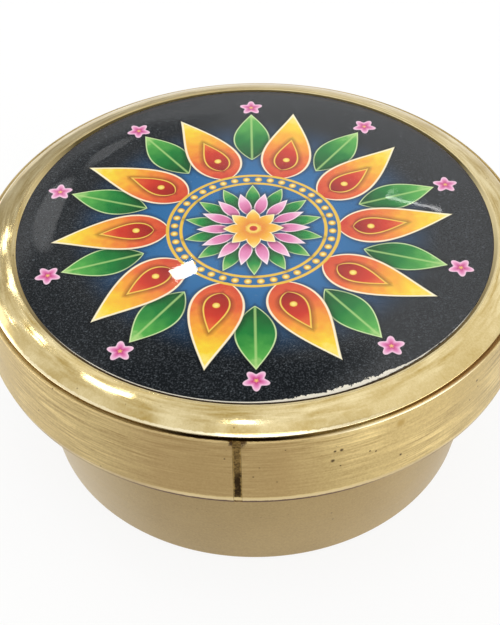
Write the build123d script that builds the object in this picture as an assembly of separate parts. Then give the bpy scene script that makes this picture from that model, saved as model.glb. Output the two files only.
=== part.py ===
from build123d import *
import os

# A round brass box for kumkum powder. A turned cup tapers up to a straight neck, and an
# overhanging lid slips down over that neck. The lid is a strip rolled into a band and brazed,
# a plate and a bezel ring soldered on top of it, and a printed picture under clear resin.
# Millimetres, +Z up, origin under the middle of the cup. The band's seam faces -Y.

# Cup
cup_flare = 2.2  # the foot's radius is this much less than the neck's
cup_shown = 13.85  # from the table up to the lid's lower edge
cup_wall = 1.7
cup_floor = 2.0
foot_round = 0.5  # outer edge of the foot
well_round = 3.0  # inside corner between floor and wall
rim_bevel = 0.3  # inner edge of the rim

# Lid band
lid_radius = 25.0
band_thickness = 2.45
band_height = 7.23  # from the lid's lower edge to the rim outside the groove
band_foot_rise = 0.75  # steep bevel round the lid's lower edge: how high it reaches
band_foot_inset = 0.2  # and how far it leans in
band_lean = 0.24  # the rim's radius is this much less than the band's largest
band_rim_width = 0.18
band_rim_round = 0.1
seat_depth = 0.5  # from the rim down to the bezel's seat
seam_width = 0.72
seam_turn = -3.8  # degrees from the front, seen from above
seam_sink = 0.06  # the filler lies this far under the band's faces

# Lid plate and the fillet of solder under it
plate_thickness = 1.2
plate_inset = 0.45  # how far the plate reaches down into the band, under the seat
solder_leg = 0.5

# Bezel ring
bezel_width = 3.25  # from the band's outside in to the picture's recess
recess_depth = 0.93  # from the lip down to the plate
bezel_fall = 0.84  # how much lower the face is at its outer edge
bezel_crown = 0.1  # the face bulges this far from straight
lip_round = 0.12
lip_width = 0.2
bezel_setback = 0.85  # the bezel's foot, inside the band's outside
groove_floor = 0.1  # flat floor of the groove between bezel and rim
bead_lift = 0.3  # from the seat up to the bead
bead_overhang = 0.15  # the bead stands out this far over the groove
bead_width = 0.25  # from the bead's widest point in to its top
cove_width = 0.2  # shallow hollow between bead and face
cove_depth = 0.04

# Picture and resin
picture_margin = 0.35  # left bare round the picture
picture_thickness = 0.2
adhesive_inset = 0.2  # the adhesive stops short of the picture's edge
adhesive_thickness = 0.1
resin_edge_drop = 0.12  # from the lip down to the resin's edge
resin_crown = 0.22
resin_rounded = 6.0  # outer part of the resin's face that curves down to the edge

# Clearances
neck_gap = 0.15  # radial, lid band sliding on the neck
solder_gap = 0.05  # radial, pieces soldered together
rim_relief = 0.25  # extra bevel on the rim, clear of the solder fillet
resin_gap = 0.03  # radial, resin against what it was poured into

# Heights and radii that follow
band_bore = lid_radius - band_thickness
neck_radius = band_bore - neck_gap
foot_radius = neck_radius - cup_flare
well_mouth = neck_radius - cup_wall
band_top = cup_shown + band_height
rim_radius = lid_radius - band_lean
seat = band_top - seat_depth
bezel_foot = lid_radius - bezel_setback
plate_bottom = seat - plate_inset
plate_top = plate_bottom + plate_thickness
plate_radius = band_bore - solder_gap
rim_top = plate_bottom
bezel_bore = lid_radius - bezel_width
lip_top = plate_top + recess_depth
picture_radius = bezel_bore - picture_margin
picture_bottom = plate_top + adhesive_thickness
picture_top = picture_bottom + picture_thickness


def section(points, rounds=()):
    """Flat section in radius and height. Each round is a corner's point and its radius."""
    face = make_face(Polyline(*points, close=True))
    for corner, radius in rounds:
        nearest = face.vertices().sort_by_distance((*corner, 0))[:1]
        face = fillet(nearest, radius)
    return face


def turned(face):
    """Solid that the section makes as it turns about the box's axis."""
    return revolve(Plane.XZ * face, Axis.Z)


def at_seam(shape):
    """Carries a shape made at the front, on -Y, round to the band's seam."""
    return Rot(0, 0, seam_turn) * shape


def make_base_cup():
    """Tapering cup with a straight neck, a flat floor and a round inside corner."""
    taper = (neck_radius - foot_radius) / cup_shown
    well_foot = foot_radius + taper * cup_floor - cup_wall
    rim_chamfer = solder_leg + rim_relief
    foot_corner = (foot_radius, 0)
    well_corner = (well_foot, cup_floor)
    points = [
        (0, 0),
        foot_corner,
        (neck_radius, cup_shown),
        (neck_radius, rim_top - rim_chamfer),
        (neck_radius - rim_chamfer, rim_top),
        (well_mouth + rim_bevel, rim_top),
        (well_mouth, rim_top - rim_bevel),
        (well_mouth, cup_shown),
        well_corner,
        (0, cup_floor),
    ]
    return turned(section(points, [(foot_corner, foot_round), (well_corner, well_round)]))


def make_whole_band():
    """The lid's side as a closed ring with a seat for the bezel, before its seam is cut."""
    rim_corner = (rim_radius, band_top)
    points = [
        (band_bore, cup_shown),
        (lid_radius - band_foot_inset, cup_shown),
        (lid_radius, cup_shown + band_foot_rise),
        rim_corner,
        (rim_radius - band_rim_width, band_top),
        (bezel_foot + groove_floor, seat),
        (band_bore, seat),
    ]
    return turned(section(points, [(rim_corner, band_rim_round)]))


def make_seam_slot():
    """Upright slot right through the band, where the strip's ends meet."""
    slot = Box(seam_width, 3 * band_thickness, 2 * band_height)
    middle = Pos(0, -(lid_radius + band_bore) / 2, (cup_shown + band_top) / 2)
    return at_seam(middle * slot)


def make_lid_band():
    """Rolled strip whose two ends stop either side of the seam."""
    return make_whole_band() - make_seam_slot()


def make_seam_braze():
    """Filler between the strip's ends, a little under flush inside and out."""
    inner = band_bore + seam_sink
    outer = lid_radius - seam_sink
    outer_foot = outer - band_foot_inset
    filler_top = band_top - band_rim_round
    points = [
        (inner, cup_shown),
        (outer_foot, cup_shown),
        (outer, cup_shown + band_foot_rise),
        (rim_radius - seam_sink, filler_top),
        (rim_radius - band_rim_width, filler_top),
        (bezel_foot + groove_floor, seat),
        (inner, seat),
    ]
    return turned(section(points)) & make_seam_slot()


def make_disc(radius, bottom, top):
    """Plain flat disc."""
    return turned(section([(0, bottom), (radius, bottom), (radius, top), (0, top)]))


def make_solder_fillet():
    """Ring of solder with a hollow face, in the corner under the plate."""
    hollow = solder_leg * 0.35  # the hollow face's middle, in from the band and from the plate
    corner = (plate_radius, plate_bottom)
    low_end = (plate_radius, plate_bottom - solder_leg)
    inner_end = (plate_radius - solder_leg, plate_bottom)
    with BuildSketch() as ring:
        with BuildLine():
            Polyline(low_end, corner, inner_end)
            ThreePointArc(inner_end, (plate_radius - hollow, plate_bottom - hollow), low_end)
        make_face()
    return turned(ring.sketch)


def make_lid_bezel():
    """Turned ring: bead over the groove, shallow cove, crowned face and lip round the picture."""
    bead_foot = seat + bead_lift
    bead_top = lip_top - bezel_fall
    bead_out = bezel_foot + bead_overhang
    bead_in = bead_out - bead_width
    face_out = bead_in - cove_width
    face_in = bezel_bore + lip_width
    with BuildSketch() as ring:
        with BuildLine():
            Polyline((band_bore, seat), (bezel_foot, seat), (bezel_foot, bead_foot))
            ThreePointArc(
                (bezel_foot, bead_foot), (bead_out, (bead_foot + bead_top) / 2), (bead_in, bead_top)
            )
            ThreePointArc(
                (bead_in, bead_top),
                ((bead_in + face_out) / 2, bead_top - cove_depth),
                (face_out, bead_top),
            )
            ThreePointArc(
                (face_out, bead_top),
                ((face_out + face_in) / 2, (bead_top + lip_top) / 2 + bezel_crown),
                (face_in, lip_top),
            )
            Polyline(
                (face_in, lip_top),
                (bezel_bore + lip_round, lip_top),
                (bezel_bore, lip_top - lip_round),
                (bezel_bore, plate_top),
                (band_bore, plate_top),
                (band_bore, seat),
            )
        make_face()
    return turned(ring.sketch)


def make_resin_cover():
    """Clear resin that fills the recess over and round the picture, with a low crown."""
    edge = bezel_bore - resin_gap
    hole = picture_radius + resin_gap
    edge_top = lip_top - resin_edge_drop
    crown_top = edge_top + resin_crown
    flat = edge - resin_rounded
    with BuildSketch() as dome:
        with BuildLine():
            TangentArc((flat, crown_top), (edge, edge_top), tangent=(1, 0))
            Polyline(
                (flat, crown_top),
                (0, crown_top),
                (0, picture_top),
                (hole, picture_top),
                (hole, plate_top),
                (edge, plate_top),
                (edge, edge_top),
            )
        make_face()
    return turned(dome.sketch)


pieces = {
    "base_cup": make_base_cup(),
    "lid_band": make_lid_band(),
    "lid_seam_braze": make_seam_braze(),
    "lid_plate": make_disc(plate_radius, plate_bottom, plate_top),
    "lid_solder_fillet": make_solder_fillet(),
    "lid_bezel": make_lid_bezel(),
    "picture_adhesive": make_disc(picture_radius - adhesive_inset, plate_top, picture_bottom),
    "picture_print": make_disc(picture_radius, picture_bottom, picture_top),
    "resin_cover": make_resin_cover(),
}

os.makedirs("parts", exist_ok=True)
for name, piece in pieces.items():
    export_step(piece, f"parts/{name}.step")
    print(f"{name}: {piece.volume:.1f} mm3")
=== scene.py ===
import math
import bmesh
import bpy
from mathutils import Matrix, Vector, noise


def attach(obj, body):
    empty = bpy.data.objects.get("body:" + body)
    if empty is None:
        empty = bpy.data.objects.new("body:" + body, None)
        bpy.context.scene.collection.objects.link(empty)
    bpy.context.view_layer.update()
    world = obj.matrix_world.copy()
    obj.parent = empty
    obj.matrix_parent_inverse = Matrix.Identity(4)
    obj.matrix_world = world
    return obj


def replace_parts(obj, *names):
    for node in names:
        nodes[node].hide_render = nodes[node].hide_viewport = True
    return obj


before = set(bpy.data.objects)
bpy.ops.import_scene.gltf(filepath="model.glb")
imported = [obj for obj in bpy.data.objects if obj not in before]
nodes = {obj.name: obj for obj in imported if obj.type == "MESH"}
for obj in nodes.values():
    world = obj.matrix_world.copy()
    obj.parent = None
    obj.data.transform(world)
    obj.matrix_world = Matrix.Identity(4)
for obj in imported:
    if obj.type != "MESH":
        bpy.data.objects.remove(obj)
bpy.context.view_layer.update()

mm = 0.001
lidRadius = 25.0  # mm
samePlace = 1e-6  # metres: points closer than this are one
smoothAngle = 32  # degrees: sharper edges stay crisp
print("frame loaded:", ", ".join(sorted(nodes)))


def linearColour(hexText):
    channels = [int(hexText[i:i + 2], 16) / 255 for i in (1, 3, 5)]
    return tuple(c / 12.92 if c <= 0.04045 else ((c + 0.055) / 1.055) ** 2.4 for c in channels) + (1.0,)


def addNode(tree, kind, inputs=(), stops=(), **settings):
    # inputs: sockets to link, or values to set, by place or by name; stops fill a colour ramp
    # in a Mix node, place 0 is the share, 2 and 3 are its numbers, 6 and 7 its colours
    node = tree.nodes.new("ShaderNode" + kind)
    for key, value in settings.items():
        setattr(node, key, value)
    pairs = inputs.items() if isinstance(inputs, dict) else enumerate(inputs)
    for key, value in pairs:
        if isinstance(value, bpy.types.NodeSocket):
            tree.links.new(value, node.inputs[key])
        elif value is not None:
            node.inputs[key].default_value = value
    if stops:
        ramp = node.color_ramp.elements
        while len(ramp) < len(stops):
            ramp.new(1.0)
        for element, (place, colour) in zip(ramp, stops):
            element.position = place
            element.color = linearColour(colour)
    shown = [socket for socket in node.outputs if socket.enabled]
    return shown[0] if shown else node


def newMaterial(name):
    material = bpy.data.materials.new(name)
    material.use_nodes = True
    material.node_tree.nodes.clear()
    return material, material.node_tree


def dress(piece, material):
    piece.data.materials.clear()
    piece.data.materials.append(material)


def placeInMm(tree):
    place = addNode(tree, "TexCoord").node.outputs["Object"]
    return addNode(tree, "VectorMath", [place, (1000, 1000, 1000)], operation="MULTIPLY")


def selectNear(piece, points):
    # selects the vertices that lie on any of the points, in edit mode
    mesh = bmesh.from_edit_mesh(piece.data)
    for vertex in mesh.verts:
        vertex.select = min((vertex.co - point).length for point in points) < samePlace
    mesh.select_flush_mode()
    bmesh.update_edit_mesh(piece.data)


def turnProfile(name, points, steps, closed, startTurn=0.0, sweep=360.0, segments=6):
    # points: radius, height and corner length in mm, drawn from one vertex and spun clockwise about Z
    outward = Vector((math.cos(math.radians(startTurn)), math.sin(math.radians(startTurn)), 0))
    places = [outward * radius * mm + Vector((0, 0, height * mm)) for radius, height, corner in points]
    bpy.ops.object.select_all(action="DESELECT")
    bpy.ops.mesh.primitive_plane_add(size=mm, location=(0, 0, 0))
    piece = bpy.context.object
    piece.name = name
    piece.data.name = name
    bpy.ops.object.mode_set(mode="EDIT")
    bpy.ops.mesh.select_all(action="SELECT")
    bpy.ops.mesh.merge(type="CENTER")
    bpy.ops.transform.translate(value=places[0])
    for here, there in zip(places, places[1:]):
        bpy.ops.mesh.extrude_vertices_move(TRANSFORM_OT_translate={"value": there - here})
    if closed:
        selectNear(piece, [places[0], places[-1]])
        bpy.ops.mesh.edge_face_add()
    for place, (radius, height, corner) in zip(places, points):
        if corner:
            selectNear(piece, [place])
            bpy.ops.mesh.bevel(
                offset=corner * mm, segments=segments, affect="VERTICES", offset_type="WIDTH",
            )
    bpy.ops.mesh.select_all(action="SELECT")
    bpy.ops.mesh.spin(steps=steps, angle=math.radians(sweep), center=(0, 0, 0), axis=(0, 0, 1))
    bpy.ops.mesh.select_all(action="SELECT")
    bpy.ops.mesh.remove_doubles(threshold=samePlace)
    if sweep < 360:
        bpy.ops.mesh.select_all(action="DESELECT")
        bpy.ops.mesh.select_non_manifold()
        bpy.ops.mesh.fill_holes(sides=0)
    bpy.ops.mesh.select_all(action="SELECT")
    bpy.ops.mesh.normals_make_consistent(inside=False)
    bpy.ops.object.mode_set(mode="OBJECT")
    bpy.ops.object.shade_smooth_by_angle(angle=math.radians(smoothAngle))
    print("turned", name, len(piece.data.vertices), "vertices")
    return piece


# cup: flat foot, tapering side, straight neck that goes up inside the lid
cupShape = {
    "steps": 288,
    "profile": [
        (0, 0, 0), (20.2, 0, 0.5), (22.4, 13.85, 0), (22.4, 19.38, 0.15), (21.65, 20.13, 0.15),
        (21.0, 20.13, 0.15), (20.7, 19.83, 0.15), (20.7, 13.85, 0), (18.818, 2.0, 3.0), (0, 2.0, 0),
    ],
}
cup = turnProfile("cup_turned", cupShape["profile"], cupShape["steps"], closed=False)
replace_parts(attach(cup, "base"), "base_cup")

# lid's band: a rolled strip with an open seam a little left of the front
bandShape = {
    "steps": 356, "seamTurn": -93.8, "seamWidth": 0.72, "seamRadius": 24.9,
    "profile": [
        (22.55, 13.85, 0.08), (24.8, 13.85, 0.1), (25.0, 14.6, 0.06), (24.76, 21.08, 0.08),
        (24.58, 21.08, 0.04), (24.44, 20.86, 0.05), (24.16, 20.84, 0), (24.16, 20.58, 0),
        (22.55, 20.58, 0),
    ],
    "grooveWall": (24.2, 24.63),  # radii that take in the groove's outer side
    "grooveFloor": (24.2, 24.6),  # radii that take in its floor
    "grooveHeights": (20.8, 20.95),  # heights that take in its floor
    "grooveDrift": 0.08,  # the groove is cut off centre: narrower on the left, wider on the right
    "grooveLift": [  # from left to right: it is deep only near the front, and filled up elsewhere
        (-1.0, 0.2), (-0.4, 0.2), (-0.18, 0.0), (0.06, 0.0), (0.3, 0.2), (0.6, 0.18), (0.9, 0.08),
        (1.0, 0.08),
    ],
}


def between(place, stops):
    # straight-line reading of a list of places and values
    for (low, first), (high, second) in zip(stops, stops[1:]):
        if place <= high:
            return first + (second - first) * (place - low) / (high - low)
    return stops[-1][1]


seamHalf = math.degrees(bandShape["seamWidth"] / 2 / bandShape["seamRadius"])
band = turnProfile(
    "lid_band_rolled", bandShape["profile"], bandShape["steps"], closed=True,
    startTurn=bandShape["seamTurn"] - seamHalf, sweep=360 - 2 * seamHalf,
)
wallIn, wallOut = bandShape["grooveWall"]
floorIn, floorOut = bandShape["grooveFloor"]
floorLow, floorHigh = bandShape["grooveHeights"]
for vertex in band.data.vertices:
    flat = Vector((vertex.co.x, vertex.co.y, 0))
    toRight = flat.x / flat.length
    if wallIn * mm < flat.length < wallOut * mm and vertex.co.z > floorLow * mm:
        vertex.co += flat.normalized() * (bandShape["grooveDrift"] * mm * toRight)
    if floorIn * mm < flat.length < floorOut * mm and floorLow * mm < vertex.co.z < floorHigh * mm:
        vertex.co.z += between(toRight, bandShape["grooveLift"]) * mm
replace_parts(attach(band, "lid"), "lid_band")

# bezel: bevelled bead over the groove, crowned face, thin flange over the resin's edge
bezelShape = {
    "steps": 320,
    "openingReach": (23.4, 22.0),  # radii where the opening's shape begins and is full
    "profile": [
        (22.55, 20.58, 0), (24.15, 20.58, 0), (24.15, 20.87, 0.03), (24.34, 20.93, 0.05),
        (24.34, 21.25, 0.06), (24.08, 21.44, 0.05), (23.56, 21.73, 0.4), (23.04, 21.95, 0.4),
        (22.5, 22.13, 0.4), (21.98, 22.255, 0.03), (21.92, 22.235, 0.02), (21.56, 22.165, 0.01),
        (21.56, 22.15, 0), (21.75, 22.145, 0), (21.75, 21.33, 0), (22.55, 21.33, 0),
    ],
}
opening = {  # where the bore's edge stands in: a little off round
    "places": [{"turn": 172, "depth": 0.3}, {"turn": 0, "depth": 0.1}], "sharpness": 6,
}


def closeIn(piece, reach):
    # moves a piece's edge in with the opening, from nothing at the first radius to all of it at the second
    none, full = reach
    for vertex in piece.data.vertices:
        flat = Vector((vertex.co.x, vertex.co.y, 0))
        if flat.length < mm:
            continue
        turnHere = math.atan2(flat.y, flat.x)
        inwards = 0.0
        for place in opening["places"]:
            facing = max(0.0, math.cos(turnHere - math.radians(place["turn"])))
            inwards += place["depth"] * facing ** opening["sharpness"]
        share = min(1.0, max(0.0, (flat.length / mm - none) / (full - none)))
        vertex.co -= flat.normalized() * inwards * share * mm


bezel = turnProfile("lid_bezel_turned", bezelShape["profile"], bezelShape["steps"], closed=True)
closeIn(bezel, bezelShape["openingReach"])
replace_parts(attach(bezel, "lid"), "lid_bezel")

# resin: low dome that wraps the picture's edge, so no air shows between them
resinShape = {
    "steps": 288, "segments": 12,
    "openingReach": (17.0, 21.6),
    "profile": [
        (0, 22.36, 0), (18.72, 22.36, 2.9), (21.66, 22.14, 0.1), (21.72, 22.08, 0), (21.72, 21.325, 0),
        (20.8, 21.325, 0), (20.8, 21.61, 0), (0, 21.61, 0),
    ],
}
resin = turnProfile(
    "resin_poured", resinShape["profile"], resinShape["steps"], closed=False,
    segments=resinShape["segments"],
)
closeIn(resin, resinShape["openingReach"])
resin.visible_shadow = False  # light reaches the print through the resin
resin.visible_diffuse = False
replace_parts(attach(resin, "lid"), "resin_cover")

# braze: filed flush with the band, with a finely pitted face
brazeShape = {
    "steps": 4, "cuts": 5, "lump": 0.05, "lumpSize": 0.3,
    "profile": [
        (22.61, 13.86, 0), (24.8, 13.86, 0.1), (25.0, 14.6, 0.06), (24.76, 21.06, 0.1),
        (24.5, 21.06, 0.04), (24.4, 20.84, 0), (24.16, 20.82, 0), (24.16, 20.58, 0),
        (22.61, 20.58, 0),
    ],
}
braze = turnProfile(
    "seam_braze_fill", brazeShape["profile"], brazeShape["steps"], closed=True,
    startTurn=bandShape["seamTurn"] + seamHalf, sweep=2 * seamHalf,
)
bpy.ops.object.mode_set(mode="EDIT")
bpy.ops.mesh.select_all(action="SELECT")
bpy.ops.mesh.subdivide(number_cuts=brazeShape["cuts"])
bpy.ops.object.mode_set(mode="OBJECT")
lumps = bpy.data.textures.new("brazeLumps", "CLOUDS")
lumps.noise_scale = brazeShape["lumpSize"] * mm
swell = braze.modifiers.new("lumps", "DISPLACE")
swell.texture = lumps
swell.texture_coords = "LOCAL"
swell.strength = brazeShape["lump"] * mm
swell.mid_level = 1.0  # only inwards
bpy.ops.object.modifier_apply(modifier=swell.name)
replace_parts(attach(braze, "lid"), "lid_seam_braze")
print("braze filled", len(braze.data.vertices), "vertices")

# picture: a paper disc cut out by hand, so its edge wanders and is nicked in places
printShape = {
    "radius": 21.36, "bottom": 21.43, "top": 21.63, "points": 900, "smoothAngle": 30,
    "wobble": 0.06, "broad": 3, "fine": 17, "fray": 90,  # mm, then how fast the noise goes round the edge
    "nicks": [  # turn, half spread and depth
        (-62, 12, 0.2), (-45, 6, 0.16), (174, 5, 0.3), (184, 3, 0.2), (8, 3, 0.2),
    ],
}
bpy.ops.object.select_all(action="DESELECT")
bpy.ops.mesh.primitive_circle_add(
    vertices=printShape["points"], radius=printShape["radius"] * mm,
    location=(0, 0, printShape["bottom"] * mm), fill_type="TRIFAN",
)
printDisc = bpy.context.object
printDisc.name = "picture_cut_disc"
bpy.ops.object.transform_apply(location=True, rotation=True, scale=True)
for vertex in printDisc.data.vertices:
    flat = Vector((vertex.co.x, vertex.co.y, 0))
    if flat.length < mm:
        continue
    around = flat.normalized()
    turnHere = math.degrees(math.atan2(flat.y, flat.x))
    broadWave = noise.noise(around * printShape["broad"])
    fineWave = noise.noise(around * printShape["fine"])
    cut = printShape["wobble"] * (broadWave + 0.5 * fineWave)
    for centre, spread, depth in printShape["nicks"]:
        away = (turnHere - centre + 180) % 360 - 180
        if abs(away) < spread:
            rough = 0.55 + 0.45 * noise.noise(around * printShape["fray"])
            cut += depth * rough * (1 - (away / spread) ** 4)
    vertex.co -= around * max(0.0, cut) * mm
bpy.ops.object.mode_set(mode="EDIT")
bpy.ops.mesh.select_all(action="SELECT")
bpy.ops.mesh.extrude_region_move(
    TRANSFORM_OT_translate={"value": (0, 0, (printShape["top"] - printShape["bottom"]) * mm)}
)
bpy.ops.mesh.select_all(action="SELECT")
bpy.ops.mesh.normals_make_consistent(inside=False)
bpy.ops.object.mode_set(mode="OBJECT")
bpy.ops.object.shade_smooth_by_angle(angle=math.radians(printShape["smoothAngle"]))
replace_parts(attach(printDisc, "lid"), "picture_print")
print("print cut", len(printDisc.data.vertices), "vertices")

# brass, turned on a lathe: fine lines run round it, the gloss is drawn out across them,
# and the corners are darkened by old polish, dirt and painted shade; some edges carry painted highlights
# a mark: its span in mm by radius, height or distance from the seam, how soft and ragged its edge is,
# its colour and roughness, and how strong it is at places along X and Y
# dark brown: dirt in the hollows, and also painted shade in the groove and under the flange
dirtAndShade = "#2E1A07"
oldPolishAndShade = "#6E5724"  # dried polish at the lip's foot, darkened further as painted shade
pit = "#553D16"
lowEdge = [  # the band's lower bevel: a rubbed edge with a painted highlight, strongest in front, and grime with painted shade under it
    {"radius": (24.4, 30), "height": (14.15, 14.7), "soft": 0.05, "ragged": 0.06,
     "colour": "#DEC68C", "rough": 0.35,
     "alongX": [(-25, 0.1), (-10, 0.2), (-6, 0.9), (7, 0.9), (12, 0.2), (25, 0.1)]},
    {"radius": (0, 30), "height": (0, 14.16), "soft": 0.05, "ragged": 0.06,
     "colour": "#5A3400", "rough": 0.6,
     "alongX": [(-25, 0.3), (-13, 0.4), (-6, 1.0), (6, 1.0), (11, 0.5), (25, 0.4)]},
]
grooveAlongX = [
    (-25, 0.0), (-16, 0.15), (-9, 0.4), (-5.5, 1.0), (1.5, 1.0), (4.5, 0.4), (12, 0.25), (17, 0.0),
]
grooveAlongY = [(-25, 1.0), (-16, 0.8), (0, 0.4), (25, 0.1)]
inFront = [(-25, 1.0), (-20, 1.0), (-10, 0.0), (25, 0.0)]
frontToMiddle = [(-25, 1.0), (-14, 1.0), (-6, 0.5), (0, 0.1), (25, 0.0)]
bezelBrass = {
    "name": "brass_polished_bezel", "light": "#EAD9A8", "dark": "#B79D5C", "coat": 0.0,
    "roughness": (0.05, 0.16), "drawn": 0.2,
    "lineWidth": 0.22, "lineRun": 5.0, "lineTone": 3.2, "lineDepth": 0.016,
    "patchTone": 0.25, "grainTone": 0.25, "grainDepth": 0.0015, "waveDepth": 0.03, "pits": 0.5,
    "marks": [
        # dirt and painted shade in the groove, darkest in front; the paler brown at the sides paints the
        # light it catches there
        {"radius": (24.2, 30.0), "height": (0, 21.2), "soft": 0.04, "ragged": 0.05,
         "colour": dirtAndShade, "rough": 0.6, "alongX": grooveAlongX, "alongY": grooveAlongY},
        {"radius": (24.2, 30.0), "height": (0, 21.22), "soft": 0.04, "ragged": 0.03,
         "colour": "#A07C46", "rough": 0.5,
         "alongX": [(-25, 0.7), (-12, 0.6), (-7, 0.0), (9, 0.0), (15, 0.9), (25, 0.9)],
         "alongY": [(-25, 1.0), (-2, 1.0), (4, 0.0), (25, 0.0)]},
        # dirt and painted shade under the flange
        {"radius": (0, 21.8), "height": (0, 22.14), "soft": 0.01, "ragged": 0.0,
         "colour": dirtAndShade, "rough": 0.6},
        # the bead's edge: a painted highlight, strongest in front
        {"radius": (24.17, 24.5), "height": (21.22, 21.5), "soft": 0.03, "ragged": 0.07,
         "colour": "#FFF2CC", "rough": 0.14,
         "alongX": [
             (-25, 0.9), (-18, 0.8), (-10, 0.7), (-4, 1.0), (4, 1.0), (9, 0.4), (12, 0.0), (25, 0.0),
         ]},
        # the flange: dull on the right; old polish, dirt and painted shade in front; dull, with painted
        # shade, at the back
        {"radius": (0, 21.94), "height": (22.12, 30), "soft": 0.02, "ragged": 0.0,
         "colour": "#EAD9A8", "rough": 0.5, "alongX": [(-25, 0.0), (-6, 0.0), (4, 1.0), (25, 1.0)]},
        {"radius": (0, 21.78), "height": (22.1, 30), "soft": 0.03, "ragged": 0.02,
         "colour": oldPolishAndShade, "rough": 0.4,
         "alongX": [(-25, 0.5), (-18, 0.6), (-12, 1.0), (25, 0.9)], "alongY": frontToMiddle},
        {"radius": (0, 21.78), "height": (22.1, 30), "soft": 0.03, "ragged": 0.02,
         "colour": dirtAndShade, "rough": 0.5,
         "alongX": [(-25, 0.2), (-18, 0.6), (-12, 0.9), (9, 0.9), (15, 0.3), (25, 0.0)],
         "alongY": frontToMiddle},
        {"radius": (0, 21.99), "height": (22.12, 30), "soft": 0.02, "ragged": 0.0,
         "colour": "#D6C08A", "rough": 0.4,
         "alongX": [(-25, 0.9), (-4, 0.9), (4, 0.0), (25, 0.0)],
         "alongY": [(-25, 0.0), (3, 0.0), (7, 0.9), (25, 0.9)]},
        {"radius": (0, 21.8), "height": (22.1, 30), "soft": 0.03, "ragged": 0.02,
         "colour": "#4F4426", "rough": 0.55,
         "alongX": [(-25, 0.0), (-20.5, 0.0), (-17, 1.0), (25, 1.0)],
         "alongY": [(-25, 0.0), (3, 0.0), (9, 0.95), (25, 0.95)]},
    ],
    "spots": [],
}
bandBrass = {
    "name": "brass_turned_band", "light": "#E0C98C", "dark": "#9C8248", "coat": 0.45,
    "roughness": (0.38, 0.54), "drawn": 0.7,
    "lineWidth": 0.34, "lineRun": 6.0, "lineTone": 2.6, "lineDepth": 0.016,
    "patchTone": 0.2, "grainTone": 0.3, "grainDepth": 0.002, "waveDepth": 0.0, "pits": 0.8,
    "marks": [
        # dirt and painted shade in the groove, darkest in front; the paler brown on the right paints the
        # light it catches there
        {"radius": (22.8, 24.62), "height": (20.4, 21.3), "soft": 0.03, "ragged": 0.05,
         "colour": dirtAndShade, "rough": 0.6, "alongX": grooveAlongX, "alongY": grooveAlongY},
        {"radius": (22.8, 24.64), "height": (20.4, 21.3), "soft": 0.03, "ragged": 0.03,
         "colour": "#B08C56", "rough": 0.55,
         "alongX": [(-25, 0.0), (9, 0.0), (15, 0.9), (25, 0.9)],
         "alongY": [(-25, 1.0), (0, 1.0), (9, 0.0), (25, 0.0)]},
        # dirt on the plate, at the resin's edge
        {"radius": (21.0, 21.8), "height": (21.0, 21.5), "soft": 0.03, "ragged": 0.02,
         "colour": dirtAndShade, "rough": 0.5},
        # a warmer patch left of the front
        {"radius": (24.4, 30), "height": (0, 30), "soft": 0.05, "ragged": 0.0,
         "colour": "#AA8651", "rough": 0.5, "alongY": inFront,
         "alongX": [(-25, 0.0), (-13, 0.05), (-8, 0.5), (2, 0.5), (6, 0.1), (9, 0.0), (25, 0.0)]},
        *lowEdge,
        # the rim: pale, and a painted highlight right of the front
        {"radius": (24.62, 30), "height": (20.98, 30), "soft": 0.03, "ragged": 0.06,
         "colour": "#DCC38A", "rough": 0.5,
         "alongX": [(-25, 0.8), (0, 0.8), (8, 0.3), (14, 0.0), (25, 0.0)]},
        {"radius": (24.54, 30), "height": (21.0, 30), "soft": 0.03, "ragged": 0.03,
         "colour": "#FFF2CC", "rough": 0.3, "alongY": inFront,
         "alongX": [(-25, 0.0), (4, 0.0), (9, 0.9), (15, 0.9), (19, 0.2), (25, 0.0)]},
        # a stain at the top of the seam
        {"seam": (-0.7, 0.7), "height": (20.7, 30), "radius": (24, 30), "soft": 0.2, "ragged": 0.6,
         "colour": "#4E3200", "rough": 0.6, "alongY": inFront},
    ],
    "spots": [  # place, size and colour
        (6.07, -24.08, 19.12, 0.16, pit), (6.6, -23.94, 19.12, 0.2, pit), (5.92, -24.16, 18.09, 0.22, pit),
        (8.93, -23.21, 18.09, 0.12, pit), (9.43, -23.02, 17.85, 0.12, pit), (11.58, -22.09, 16.28, 0.16, pit),
        (18.15, -16.94, 19.37, 0.16, pit), (6.56, -24.02, 17.33, 0.1, pit), (-2.61, -24.69, 19.19, 0.1, pit),
        (1.49, -24.89, 16.49, 0.08, pit), (11.38, -22.03, 20.05, 0.5, "#AC904E"),
    ],
}
cupBrass = {
    "name": "brass_satin_cup", "light": "#B89E66", "dark": "#967C46", "coat": 0.6,
    "roughness": (0.46, 0.58), "drawn": 0.5,
    "lineWidth": 0.4, "lineRun": 2.2, "lineTone": 0.6, "lineDepth": 0.003,
    "patchTone": 0.25, "grainTone": 0.5, "grainDepth": 0.003, "waveDepth": 0.0, "pits": 0.4,
    "marks": [  # neck rubbed bright by the lid, and a paler left side: a painted sheen
        {"radius": (22.0, 30), "height": (13.95, 30), "soft": 0.06, "ragged": 0.08,
         "colour": "#D2BC84", "rough": 0.38, "alongX": [(-25, 0.6), (25, 0.6)]},
        {"radius": (0, 30), "height": (0, 30), "soft": 0.1, "ragged": 0.0,
         "colour": "#DCCBA6", "rough": 0.5, "alongX": [(-25, 0.32), (-15, 0.28), (-9, 0.0), (25, 0.0)]},
    ],
    "spots": [(6.33, -20.26, 6.48, 0.1, pit), (6.49, -20.02, 5.32, 0.1, pit)],
}


def greyText(level):
    # a share from 0 to 1 as a grey for a colour ramp
    return "#" + "%02X" % int(255 * level ** (1 / 2.2)) * 3


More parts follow.
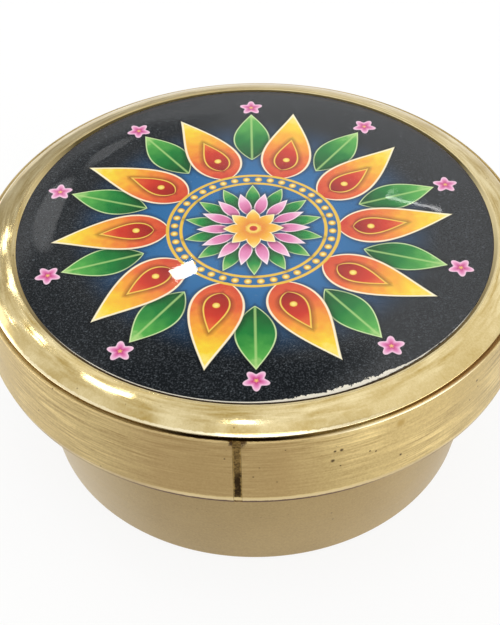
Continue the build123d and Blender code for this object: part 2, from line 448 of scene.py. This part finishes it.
def addMark(tree, spot, mark, colour, rough):
    # tints a ring or patch of the brass, with an edge that frays about every 0.5 mm
    fray = addNode(tree, "TexNoise", {
        "Vector": spot["place"], "Scale": 2.2, "Detail": 4.0, "Roughness": 0.7,
    })
    shift = addNode(tree, "MapRange", [fray, 0.25, 0.75, -mark["ragged"], mark["ragged"]])
    mask = 1.0
    for name in ("radius", "height", "seam"):
        if name not in mark:
            continue
        low, high = mark[name]
        moved = addNode(tree, "Math", [spot[name], shift], operation="ADD")
        rise = addNode(tree, "MapRange", [moved, low - mark["soft"], low + mark["soft"], 0.0, 1.0])
        fall = addNode(tree, "MapRange", [moved, high - mark["soft"], high + mark["soft"], 1.0, 0.0])
        both = addNode(tree, "Math", [rise, fall], operation="MULTIPLY")
        mask = addNode(tree, "Math", [both, mask], operation="MULTIPLY")
    for name in ("alongX", "alongY"):
        if name not in mark:
            continue
        span = addNode(tree, "MapRange", [spot[name], -lidRadius, lidRadius, 0.0, 1.0])
        greys = [(far / (2 * lidRadius) + 0.5, greyText(level)) for far, level in mark[name]]
        weight = addNode(tree, "ValToRGB", [span], stops=greys)
        mask = addNode(tree, "Math", [mask, weight], operation="MULTIPLY")
    tinted = addNode(tree, "Mix", {0: mask, 6: colour, 7: linearColour(mark["colour"])}, data_type="RGBA")
    dulled = addNode(tree, "Mix", {0: mask, 2: rough, 3: mark["rough"]}, data_type="FLOAT")
    return tinted, dulled


seamRadians = math.radians(bandShape["seamTurn"])
seamSide = (-math.sin(seamRadians), math.cos(seamRadians), 0)  # square to the seam
brassSizes = {"patch": 6.25, "grain": 0.2, "wave": 2.5}  # mm; the grain as coarse as it needs to show
lineSlant = 1.7  # height counts this many times as much as radius, so lines cross sloping faces too


def makeBrass(look):
    material, tree = newMaterial(look["name"])
    place = placeInMm(tree)
    flat = addNode(tree, "VectorMath", [place, (1, 1, 0)], operation="MULTIPLY")
    radius = addNode(tree, "VectorMath", [flat], operation="LENGTH").node.outputs["Value"]
    around = addNode(tree, "VectorMath", [flat], operation="NORMALIZE")
    apart = addNode(tree, "SeparateXYZ", [place]).node.outputs
    seam = addNode(tree, "VectorMath", [place, seamSide], operation="DOT_PRODUCT").node.outputs["Value"]
    spot = {
        "place": place, "radius": radius, "height": apart["Z"], "seam": seam,
        "alongX": apart["X"], "alongY": apart["Y"],
    }
    # lathe lines: fast across the profile, slow round it
    run = (look["lineRun"], look["lineRun"], 0)
    across = addNode(tree, "Math", [apart["Z"], lineSlant, radius], operation="MULTIPLY_ADD")
    lineAcross = addNode(tree, "Math", [across, 1 / look["lineWidth"]], operation="MULTIPLY")
    lineAround = addNode(tree, "VectorMath", [around, run], operation="MULTIPLY")
    lineUp = addNode(tree, "CombineXYZ", [0, 0, lineAcross])
    linePlace = addNode(tree, "VectorMath", [lineAround, lineUp], operation="ADD")
    lines = addNode(tree, "TexNoise", {"Vector": linePlace, "Scale": 1.0, "Detail": 3.0, "Roughness": 0.6})
    # handling: broad patches where the lines are rubbed out, a fine grain, and a slow wave
    patches = addNode(tree, "TexNoise", {
        "Vector": place, "Scale": 1 / brassSizes["patch"], "Detail": 2.0, "Roughness": 0.5,
    })
    grain = addNode(tree, "TexNoise", {
        "Vector": place, "Scale": 1 / brassSizes["grain"], "Detail": 2.0, "Roughness": 0.6,
    })
    wave = addNode(tree, "TexNoise", {"Vector": place, "Scale": 1 / brassSizes["wave"], "Detail": 1.0})
    kept = addNode(tree, "MapRange", [patches, 0.38, 0.62, 0.3, 1.0])
    lineHeight = addNode(tree, "Math", [lines, 0.5], operation="SUBTRACT")
    lineKept = addNode(tree, "Math", [lineHeight, kept], operation="MULTIPLY")
    tone = addNode(tree, "Math", [lineKept, look["lineTone"], 0.5], operation="MULTIPLY_ADD")
    for part, share in ((patches, look["patchTone"]), (grain, look["grainTone"])):
        centred = addNode(tree, "Math", [part, 0.5], operation="SUBTRACT")
        tone = addNode(tree, "Math", [centred, 2 * share, tone], operation="MULTIPLY_ADD")
    held = addNode(tree, "MapRange", [tone, 0.0, 1.0, 0.0, 1.0])
    dark = linearColour(look["dark"])
    light = linearColour(look["light"])
    colour = addNode(tree, "Mix", {0: held, 6: dark, 7: light}, data_type="RGBA")
    low, high = look["roughness"]
    rough = addNode(tree, "MapRange", [lines, 0.3, 0.7, low, high])
    for mark in look["marks"]:
        colour, rough = addMark(tree, spot, mark, colour, rough)
    # casting pits: a fine scatter about 1.7 mm apart, then those seen one by one
    cells = addNode(tree, "TexVoronoi", {"Vector": place, "Scale": 0.6, "Randomness": 1.0})
    pitted = addNode(tree, "MapRange", [cells, 0.06, 0.03, 0.0, look["pits"]])
    colour = addNode(tree, "Mix", {0: pitted, 6: colour, 7: linearColour(pit)}, data_type="RGBA")
    for x, y, z, size, tint in look["spots"]:
        away = addNode(tree, "VectorMath", [place, (x, y, z)], operation="DISTANCE").node.outputs["Value"]
        near = addNode(tree, "MapRange", [away, size, size * 0.4, 0.0, 1.0])
        colour = addNode(tree, "Mix", {0: near, 6: colour, 7: linearColour(tint)}, data_type="RGBA")
    relief = addNode(tree, "Math", [lineKept, look["lineDepth"]], operation="MULTIPLY")
    relief = addNode(tree, "Math", [grain, look["grainDepth"], relief], operation="MULTIPLY_ADD")
    relief = addNode(tree, "Math", [wave, look["waveDepth"], relief], operation="MULTIPLY_ADD")
    bump = addNode(tree, "Bump", {"Height": relief, "Strength": 1.0, "Distance": mm})
    tangent = addNode(tree, "Tangent", direction_type="RADIAL", axis="Z")
    shader = addNode(tree, "BsdfPrincipled", {
        "Base Color": colour, "Metallic": 1.0, "Roughness": rough, "Normal": bump, "Tangent": tangent,
        "Anisotropic": look["drawn"], "Anisotropic Rotation": 0.25,  # a quarter turn: across the lines
        "Coat Weight": look["coat"], "Coat Roughness": 0.35,
    })
    addNode(tree, "OutputMaterial", {"Surface": shader})
    return material


dress(bezel, makeBrass(bezelBrass))
bandMaterial = makeBrass(bandBrass)
dress(band, bandMaterial)
dress(cup, makeBrass(cupBrass))
dress(nodes["lid_plate"], bandMaterial)
print("brass dressed")

# solder: dull grey tin alloy, a little frosted where it froze
solderLook = {
    "name": "soft_solder", "dark": "#6F6E68", "mid": "#86857E", "bright": "#9C9B94",
    "grain": 0.6, "metallic": 1.0, "roughness": 0.45, "depth": 0.04,
}
# craft glue: dried to a thin cloudy film
glueLook = {
    "name": "dried_craft_glue", "dark": "#B9B29C", "mid": "#C9C2AE", "bright": "#D8D2C0",
    "grain": 1.2, "metallic": 0.0, "roughness": 0.7, "depth": 0.02,
}
# braze: brass filler filed flush, mottled with flux above and gone dark below, paler where it meets the band
brazeLook = {
    "name": "brass_braze_filler", "light": "#8C7242", "dark": "#4A3719", "coat": 0.0,
    "roughness": (0.45, 0.6), "drawn": 0.3,
    "lineWidth": 0.7, "lineRun": 60.0, "lineTone": 2.5, "lineDepth": 0.008,
    "patchTone": 0.2, "grainTone": 1.0, "grainDepth": 0.01, "waveDepth": 0.0, "pits": 0.0,
    "marks": [
        {"seam": (-0.6, 0.6), "height": (14.75, 17.4), "radius": (0, 30), "soft": 0.5, "ragged": 0.5,
         "colour": "#33240F", "rough": 0.6},
        {"seam": (-9, -0.29), "height": (14.75, 20.4), "radius": (24, 30), "soft": 0.08, "ragged": 0.1,
         "colour": "#B4975C", "rough": 0.5},
        {"seam": (0.29, 9), "height": (14.75, 20.4), "radius": (24, 30), "soft": 0.08, "ragged": 0.1,
         "colour": "#B4975C", "rough": 0.5},
        # the lower bevel's painted highlight and painted shade run on across the braze
        *lowEdge,
    ],
    "spots": [],
}


def makeMottled(look):
    material, tree = newMaterial(look["name"])
    grain = addNode(tree, "TexNoise", {
        "Vector": placeInMm(tree), "Scale": 1 / look["grain"], "Detail": 5.0, "Roughness": 0.7,
    })
    colour = addNode(
        tree, "ValToRGB", [grain], stops=[(0.4, look["dark"]), (0.56, look["mid"]), (0.7, look["bright"])],
    )
    bump = addNode(tree, "Bump", {"Height": grain, "Strength": 0.8, "Distance": look["depth"] * mm})
    shader = addNode(tree, "BsdfPrincipled", {
        "Base Color": colour, "Metallic": look["metallic"], "Roughness": look["roughness"], "Normal": bump,
    })
    addNode(tree, "OutputMaterial", {"Surface": shader})
    return material


dress(braze, makeBrass(brazeLook))
dress(nodes["lid_solder_fillet"], makeMottled(solderLook))
dress(nodes["picture_adhesive"], makeMottled(glueLook))

# resin: clear casting resin, self-levelled, so glossy with a slow ripple
resinLook = {
    "name": "clear_casting_resin", "ripple": 7.0, "rippleDepth": 0.03, "roughness": 0.02, "ior": 1.5,
}
resinMaterial, tree = newMaterial(resinLook["name"])
ripple = addNode(tree, "TexNoise", {
    "Vector": placeInMm(tree), "Scale": 1 / resinLook["ripple"], "Detail": 1.5,
})
bump = addNode(tree, "Bump", {"Height": ripple, "Strength": 1.0, "Distance": resinLook["rippleDepth"] * mm})
shader = addNode(tree, "BsdfPrincipled", {
    "Base Color": linearColour("#FFFFFF"), "Roughness": resinLook["roughness"], "IOR": resinLook["ior"],
    "Transmission Weight": 1.0, "Normal": bump,
})
addNode(tree, "OutputMaterial", {"Surface": shader})
dress(resin, resinMaterial)

# print: offset ink on coated paper, a round ornament of leaves and mango shapes on charcoal
printLook = {
    "name": "printed_paper", "ground": "#13171A", "speck": "#5A5F64", "paper": "#EFE8D6",
    "fleck": "#8E98A0", "shadow": "#0B0C0D", "inkSoft": 0.07,  # mm, the softness of a printed edge
    "glow": "#2C6FA6", "glowReach": (17.0, 8.0), "glowShare": 0.85,  # radii where it begins and is full
    # the bare margin in front, in the paper colour, is bare paper and also a painted highlight
    "inkRadius": 21.4, "bareWidth": 0.38, "jagDepth": 0.38, "bareSoft": 0.05,
    "bareFront": (-9.0, -16.5),  # Y where the bare margin begins and is full
    "raggedAlongX": [(0.5, "#000000"), (0.6, "#FFFFFF"), (0.7, "#FFFFFF"), (0.76, "#000000")],
    "bareAlongX": [(0.2, "#A8A8A8"), (0.5, "#E6E6E6"), (0.7, "#FFFFFF"), (0.76, "#D5D5D5")],
}
# sizes in mm from the middle outwards, painted in this order
motifs = [
    {"shape": "petal", "count": 10, "turn": 0.5, "start": 10.2, "length": 7.6,
     "halfWidth": 1.8, "lean": 0.0, "skew": 0.85,
     "stops": [(0.0, "#0C3F1E"), (0.45, "#1E7A35"), (0.8, "#58A84C"), (1.0, "#B9D98A")],
     "rim": "#CFE3A8", "rimWidth": 0.12, "vein": "#A9D07E"},
    {"shape": "petal", "count": 10, "turn": 0.0, "start": 7.6, "length": 10.6,
     "halfWidth": 2.45, "lean": 1.5, "skew": 0.62,
     "stops": [
         (0.0, "#C8402E"), (0.3, "#E06A3A"), (0.55, "#EDA03A"), (0.8, "#F0CF3E"), (1.0, "#F6E88A"),
     ],
     "rim": "#F6EBCB", "rimWidth": 0.2, "vein": None},
    {"shape": "petal", "count": 10, "turn": 0.0, "start": 9.0, "length": 5.0,
     "halfWidth": 1.2, "lean": 0.45, "skew": 0.62,
     "stops": [(0.0, "#8E1F1C"), (0.6, "#C93A28"), (1.0, "#E8743A")],
     "rim": "#F2CE5A", "rimWidth": 0.14, "vein": None},
    {"shape": "blossom", "count": 10, "turn": 0.0, "centre": 10.6, "size": 0.36, "lobes": 0, "waves": 0.0,
     "stops": [(0.0, "#F6E88A"), (1.0, "#E7B53A")]},
    {"shape": "blossom", "count": 10, "turn": 0.5, "centre": 18.9, "size": 0.95, "lobes": 5, "waves": 0.24,
     "stops": [(0.0, "#F3D36A"), (0.25, "#C2417E"), (0.6, "#DE86B4"), (1.0, "#F4D3E2")]},
    {"shape": "ring", "radius": 7.75, "width": 0.11, "colour": "#E3B944"},
    {"shape": "ring", "radius": 6.55, "width": 0.11, "colour": "#E3B944"},
    {"shape": "blossom", "count": 40, "turn": 0.5, "centre": 7.15, "size": 0.38, "lobes": 0, "waves": 0.0,
     "stops": [(0.0, "#FBF0B4"), (0.6, "#E9BE48"), (1.0, "#A8742A")]},
    {"shape": "petal", "count": 14, "turn": 0.5, "start": 2.9, "length": 3.5,
     "halfWidth": 0.72, "lean": 0.0, "skew": 0.8,
     "stops": [(0.0, "#0C4A22"), (0.6, "#1E8A3C"), (1.0, "#9CCB6E")],
     "rim": "#D5E7B0", "rimWidth": 0.08, "vein": None},
    {"shape": "petal", "count": 14, "turn": 0.0, "start": 1.9, "length": 3.3,
     "halfWidth": 0.62, "lean": 0.0, "skew": 0.8,
     "stops": [(0.0, "#B23A72"), (0.6, "#E08CB6"), (1.0, "#F7DCE6")],
     "rim": "#FBEFF2", "rimWidth": 0.08, "vein": None},
    {"shape": "petal", "count": 8, "turn": 0.0, "start": 0.3, "length": 2.5,
     "halfWidth": 0.7, "lean": 0.0, "skew": 0.9,
     "stops": [(0.0, "#D9702C"), (0.6, "#EDB23A"), (1.0, "#F8EBA2")],
     "rim": "#FFF6D2", "rimWidth": 0.08, "vein": None},
    {"shape": "blossom", "count": 1, "turn": 0.0, "centre": 0.0, "size": 0.75, "lobes": 0, "waves": 0.0,
     "stops": [(0.0, "#B0241E"), (0.42, "#C93A28"), (0.55, "#F3D36A"), (1.0, "#DDA62E")]},
]
inkSoft = printLook["inkSoft"]


def foldRound(tree, angle, radius, count, turn):
    # repeats one sector round the middle: mm along its middle line, and aside from it
    sector = 2 * math.pi / count
    turned = addNode(tree, "Math", [angle, 1 / sector, turn + 0.5], operation="MULTIPLY_ADD")
    part = addNode(tree, "Math", [turned], operation="FRACT")
    folded = addNode(tree, "Math", [part, sector, -sector / 2], operation="MULTIPLY_ADD")
    straight = addNode(tree, "Math", [folded], operation="COSINE")
    sideways = addNode(tree, "Math", [folded], operation="SINE")
    along = addNode(tree, "Math", [radius, straight], operation="MULTIPLY")
    aside = addNode(tree, "Math", [radius, sideways], operation="MULTIPLY")
    return along, aside


def paintPetal(tree, below, along, aside, motif, wobble):
    # a pointed petal: its width swells and closes along its length, and its tip leans
    t = addNode(tree, "MapRange", [along, motif["start"], motif["start"] + motif["length"], 0.0, 1.0])
    eased = addNode(tree, "Math", [t, motif["skew"]], operation="POWER")
    phase = addNode(tree, "Math", [eased, math.pi], operation="MULTIPLY")
    swell = addNode(tree, "Math", [phase], operation="SINE")
    bend = addNode(tree, "Math", [t, t], operation="MULTIPLY")
    off = addNode(tree, "Math", [bend, -motif["lean"], aside], operation="MULTIPLY_ADD")
    away = addNode(tree, "Math", [off], operation="ABSOLUTE")
    width = addNode(tree, "Math", [swell, motif["halfWidth"]], operation="MULTIPLY")
    reached = addNode(tree, "Math", [t, motif["length"], motif["start"]], operation="MULTIPLY_ADD")
    past = addNode(tree, "Math", [along, reached], operation="SUBTRACT")
    pastEnd = addNode(tree, "Math", [past], operation="ABSOLUTE")
    around = addNode(tree, "Math", [away, pastEnd], operation="ADD")
    inside = addNode(tree, "Math", [width, around], operation="SUBTRACT")
    shade = addNode(tree, "MapRange", [inside, -0.5, 0.0, 0.0, 0.55])  # soft shadow round it
    shadow = linearColour(printLook["shadow"])
    below = addNode(tree, "Mix", {0: shade, 6: below, 7: shadow}, data_type="RGBA")
    stroke = addNode(tree, "Math", [wobble, 0.35, t], operation="MULTIPLY_ADD")
    colour = addNode(tree, "ValToRGB", [stroke], stops=motif["stops"])
    if motif["vein"]:
        middle = addNode(tree, "MapRange", [away, 0.05, 0.16, 0.7, 0.0])
        vein = linearColour(motif["vein"])
        colour = addNode(tree, "Mix", {0: middle, 6: colour, 7: vein}, data_type="RGBA")
    rim = addNode(tree, "MapRange", [inside, motif["rimWidth"], motif["rimWidth"] + inkSoft, 0.9, 0.0])
    colour = addNode(tree, "Mix", {0: rim, 6: colour, 7: linearColour(motif["rim"])}, data_type="RGBA")
    mask = addNode(tree, "MapRange", [inside, 0.0, inkSoft, 0.0, 1.0])
    return addNode(tree, "Mix", {0: mask, 6: below, 7: colour}, data_type="RGBA")


def paintBlossom(tree, below, along, aside, motif):
    # a round dot or lobed flower about a point on the sector's middle line
    size = motif["size"]
    fromCentre = addNode(tree, "Math", [along, motif["centre"]], operation="SUBTRACT")
    spot = addNode(tree, "CombineXYZ", [fromCentre, aside, 0.0])
    away = addNode(tree, "VectorMath", [spot], operation="LENGTH").node.outputs["Value"]
    turn = addNode(tree, "Math", [aside, fromCentre], operation="ARCTAN2")
    lobed = addNode(tree, "Math", [turn, motif["lobes"]], operation="MULTIPLY")
    swing = addNode(tree, "Math", [lobed], operation="COSINE")
    edge = addNode(tree, "Math", [swing, size * motif["waves"], size], operation="MULTIPLY_ADD")
    share = addNode(tree, "Math", [away, edge], operation="DIVIDE")
    colour = addNode(tree, "ValToRGB", [share], stops=motif["stops"])
    inside = addNode(tree, "Math", [edge, away], operation="SUBTRACT")
    mask = addNode(tree, "MapRange", [inside, 0.0, inkSoft, 0.0, 1.0])
    return addNode(tree, "Mix", {0: mask, 6: below, 7: colour}, data_type="RGBA")


printMaterial, tree = newMaterial(printLook["name"])
place = placeInMm(tree)
flat = addNode(tree, "VectorMath", [place, (1, 1, 0)], operation="MULTIPLY")
radius = addNode(tree, "VectorMath", [flat], operation="LENGTH").node.outputs["Value"]
apart = addNode(tree, "SeparateXYZ", [place]).node.outputs
angle = addNode(tree, "Math", [apart["Y"], apart["X"]], operation="ARCTAN2")
# grain about 0.2 mm, as coarse as it needs to show, and strokes about 1 mm
grain = addNode(tree, "TexNoise", {"Vector": place, "Scale": 6.0, "Detail": 3.0, "Roughness": 0.7})
strokes = addNode(tree, "TexNoise", {"Vector": place, "Scale": 1.1, "Detail": 3.0})
wobble = addNode(tree, "Math", [strokes, 0.5], operation="SUBTRACT")
specks = addNode(tree, "MapRange", [grain, 0.5, 0.75, 0.0, 0.8])
ground = linearColour(printLook["ground"])
colour = addNode(tree, "Mix", {0: specks, 6: ground, 7: linearColour(printLook["speck"])}, data_type="RGBA")
glowStart, glowFull = printLook["glowReach"]
glowShare = addNode(
    tree, "MapRange", [radius, glowStart, glowFull, 0.0, printLook["glowShare"]],
    interpolation_type="SMOOTHSTEP",
)
colour = addNode(tree, "Mix", {0: glowShare, 6: colour, 7: linearColour(printLook["glow"])}, data_type="RGBA")
# fine pale flecks in the dark ink, about 0.6 mm apart
cells = addNode(tree, "TexVoronoi", {"Vector": flat, "Scale": 1.6, "Randomness": 1.0})
fleck = addNode(tree, "MapRange", [cells, 0.16, 0.04, 0.0, 0.3])
colour = addNode(tree, "Mix", {0: fleck, 6: colour, 7: linearColour(printLook["fleck"])}, data_type="RGBA")
for motif in motifs:
    if motif["shape"] == "ring":
        away = addNode(tree, "Math", [radius, motif["radius"]], operation="SUBTRACT")
        near = addNode(tree, "Math", [away], operation="ABSOLUTE")
        mask = addNode(tree, "MapRange", [near, motif["width"], motif["width"] + inkSoft, 1.0, 0.0])
        ink = linearColour(motif["colour"])
        colour = addNode(tree, "Mix", {0: mask, 6: colour, 7: ink}, data_type="RGBA")
        continue
    along, aside = foldRound(tree, angle, radius, motif["count"], motif["turn"])
    if motif["shape"] == "petal":
        colour = paintPetal(tree, colour, along, aside, motif, wobble)
    else:
        colour = paintBlossom(tree, colour, along, aside, motif)
# the ink stops short of the cut edge in front, where the white paper shows, in a ragged line on the right;
# this white margin is also a painted highlight of the resin's edge
bareStart, bareFull = printLook["bareFront"]
front = addNode(tree, "MapRange", [apart["Y"], bareStart, bareFull, 0.0, 1.0])
span = addNode(tree, "MapRange", [apart["X"], -lidRadius, lidRadius, 0.0, 1.0])
raggedPart = addNode(tree, "ValToRGB", [span], stops=printLook["raggedAlongX"])
barePart = addNode(tree, "ValToRGB", [span], stops=printLook["bareAlongX"])
jag = addNode(tree, "TexNoise", {"Vector": flat, "Scale": 1.3, "Detail": 4.0, "Roughness": 0.75})
jagged = addNode(tree, "MapRange", [jag, 0.35, 0.65, 0.0, printLook["jagDepth"]])
jaggedHere = addNode(tree, "Math", [jagged, raggedPart], operation="MULTIPLY")
bare = addNode(tree, "Math", [barePart, printLook["bareWidth"], jaggedHere], operation="MULTIPLY_ADD")
bareFront = addNode(tree, "Math", [bare, front], operation="MULTIPLY")
inkEdge = addNode(tree, "Math", [printLook["inkRadius"], bareFront], operation="SUBTRACT")
pastInk = addNode(tree, "Math", [radius, inkEdge], operation="SUBTRACT")
bareAndHighlightMask = addNode(tree, "MapRange", [pastInk, 0.0, printLook["bareSoft"], 0.0, 1.0])
colour = addNode(tree, "Mix", {0: bareAndHighlightMask, 6: colour, 7: linearColour(printLook["paper"])}, data_type="RGBA")
rough = addNode(tree, "MapRange", [grain, 0.3, 0.7, 0.5, 0.7])
shader = addNode(tree, "BsdfPrincipled", {
    "Base Color": colour, "Roughness": rough,
    "Specular IOR Level": 0.0,  # no gloss of its own inside the resin
})
addNode(tree, "OutputMaterial", {"Surface": shader})
dress(printDisc, printMaterial)
print("materials made,", len(tree.nodes), "nodes in the print")

# white floor that keeps the box's soft shadow
floorLook = {"size": 2.0, "colour": "#F4F4F2", "glow": 0.85}
bpy.ops.object.select_all(action="DESELECT")
bpy.ops.mesh.primitive_plane_add(size=floorLook["size"], location=(0, 0, 0))
floor = bpy.context.object
floor.name = "floor"
floorMaterial, tree = newMaterial("white_floor")
paper = addNode(tree, "BsdfDiffuse", {"Color": linearColour(floorLook["colour"])})
glow = addNode(tree, "Emission", {"Color": linearColour("#FFFFFF"), "Strength": 1.0})
path = addNode(tree, "LightPath").node.outputs
seen = addNode(tree, "Math", [path["Is Camera Ray"], path["Is Glossy Ray"]], operation="MAXIMUM")
seenAll = addNode(tree, "Math", [seen, path["Is Transmission Ray"]], operation="MAXIMUM")
share = addNode(tree, "Math", [seenAll, floorLook["glow"]], operation="MULTIPLY")
mixed = addNode(tree, "MixShader", [share, paper, glow])
addNode(tree, "OutputMaterial", {"Surface": mixed})
floor.data.materials.append(floorMaterial)

# a pale tent of light round the box, with a few darker and lighter panels for the brass and resin to show
tent = {
    "level": 0.95,
    "panels": [  # towards, degrees of full and of no effect, level
        {"towards": (-1.0, 0.05, -0.15), "full": 22, "none": 32, "level": 3.2},
        {"towards": (-0.25, -0.97, 0.0), "full": 26, "none": 44, "level": 0.06},
        {"towards": (0.85, -0.51, -0.15), "full": 28, "none": 40, "level": 4.5},
        {"towards": (-0.5, 0.85, 0.1), "full": 20, "none": 38, "level": 0.58},
        {"towards": (0.55, 0.2, 0.81), "full": 18, "none": 40, "level": 1.15},
        {"towards": (0.05, -0.3, 0.95), "full": 8, "none": 16, "level": 1.15},
        {"towards": (0.03, -0.62, 0.785), "full": 10, "none": 17, "level": 2.2},
        {"towards": (-0.05, 0.61, 0.79), "full": 6, "none": 12, "level": 0.08},
        {"towards": (-0.2, 0.68, 0.7), "full": 4, "none": 8, "level": 0.25},
        {"towards": (-0.14, 0.79, 0.59), "full": 4, "none": 8, "level": 0.35},
        {"towards": (-0.21, 0.776, 0.595), "full": 2.2, "none": 3.2, "level": 1.3},
        {"towards": (-0.13, 0.82, 0.555), "full": 1.2, "none": 2.0, "level": 1.0},
        {"towards": (-0.3, 0.4, 0.86), "full": 5, "none": 11, "level": 1.15},
        {"towards": (-0.84, 0.42, 0.3), "full": 9, "none": 17, "level": 2.4},
    ],
}
world = bpy.data.worlds.new("studio")
bpy.context.scene.world = world
world.use_nodes = True
tree = world.node_tree
tree.nodes.clear()
towards = addNode(tree, "TexCoord").node.outputs["Generated"]
level = tent["level"]
for panel in tent["panels"]:
    aim = tuple(Vector(panel["towards"]).normalized())
    nearness = addNode(tree, "VectorMath", [towards, aim], operation="DOT_PRODUCT").node.outputs["Value"]
    full = math.cos(math.radians(panel["full"]))
    none = math.cos(math.radians(panel["none"]))
    share = addNode(tree, "MapRange", [nearness, none, full, 0.0, 1.0], interpolation_type="SMOOTHSTEP")
    level = addNode(tree, "Mix", {0: share, 2: level, 3: panel["level"]}, data_type="FLOAT")
seen = addNode(tree, "LightPath").node.outputs["Is Camera Ray"]
shown = addNode(tree, "Mix", {0: seen, 2: level, 3: 1.0}, data_type="FLOAT")  # plain white behind the box
background = addNode(tree, "Background", {"Color": linearColour("#FFFFFF"), "Strength": shown})
addNode(tree, "OutputWorld", {"Surface": background})

# small soft lamps, each for one gleam on the brass or the resin
lampFar = 0.5  # metres
lamps = [
    {"name": "top_lamp", "towards": (-0.05, -0.113, 0.992), "size": (0.045, 0.035), "roll": 0, "level": 7.0},
    {"name": "left_lamp", "towards": (-0.41, 0.18, 0.894), "size": (0.055, 0.075), "roll": 0, "level": 5.0},
    {"name": "low_lamp", "towards": (-0.53, 0.42, 0.734), "size": (0.03, 0.03), "roll": 0, "level": 8.0},
    {"name": "side_lamp", "towards": (-0.49, 0.62, 0.61), "size": (0.03, 0.025), "roll": 0, "level": 7.0},
    {"name": "back_lamp", "towards": (-0.49, 0.72, 0.495), "size": (0.03, 0.025), "roll": 0, "level": 7.0},
    {"name": "edge_lamp", "towards": (-0.7, 0.42, 0.58), "size": (0.02, 0.03), "roll": 0, "level": 7.0},
    {"name": "window_lamp", "towards": (-0.0655, 0.7345, 0.6755), "size": (0.0125, 0.007), "roll": 20,
     "level": 22.0},
    {"name": "tube_lamp", "towards": (0.151, 0.769, 0.621), "size": (0.026, 0.0015), "roll": -11,
     "level": 6.0},
]
boxMiddle = Vector((0, 0, 0.018))
for settings in lamps:
    aim = Vector(settings["towards"]).normalized()
    width, depth = settings["size"]
    bpy.ops.object.light_add(type="AREA", location=boxMiddle + aim * lampFar)
    lamp = bpy.context.object
    lamp.name = settings["name"]
    lamp.data.shape = "RECTANGLE"
    lamp.data.size = width
    lamp.data.size_y = depth
    lamp.data.energy = settings["level"] * math.pi * width * depth  # watts for that level
    lamp.rotation_euler = aim.to_track_quat("Z", "Y").to_euler()
    lamp.rotation_euler.rotate_axis("Z", math.radians(settings["roll"]))

cameraView = {
    "place": (0, -92.119, 98.593), "turn": (46.618, 0.9481, -0.5966),  # mm and degrees
    "focalPixels": 1324.9, "imageHeight": 625, "sensor": 36, "clip": (0.01, 10),
}
bpy.ops.object.camera_add(location=Vector(cameraView["place"]) * mm)
camera = bpy.context.object
camera.rotation_euler = [math.radians(angle) for angle in cameraView["turn"]]
camera.data.lens = cameraView["focalPixels"] * cameraView["sensor"] / cameraView["imageHeight"]
camera.data.sensor_width = cameraView["sensor"]
camera.data.clip_start, camera.data.clip_end = cameraView["clip"]
bpy.context.scene.camera = camera
bpy.context.scene.view_settings.view_transform = "Standard"
print("stage set")
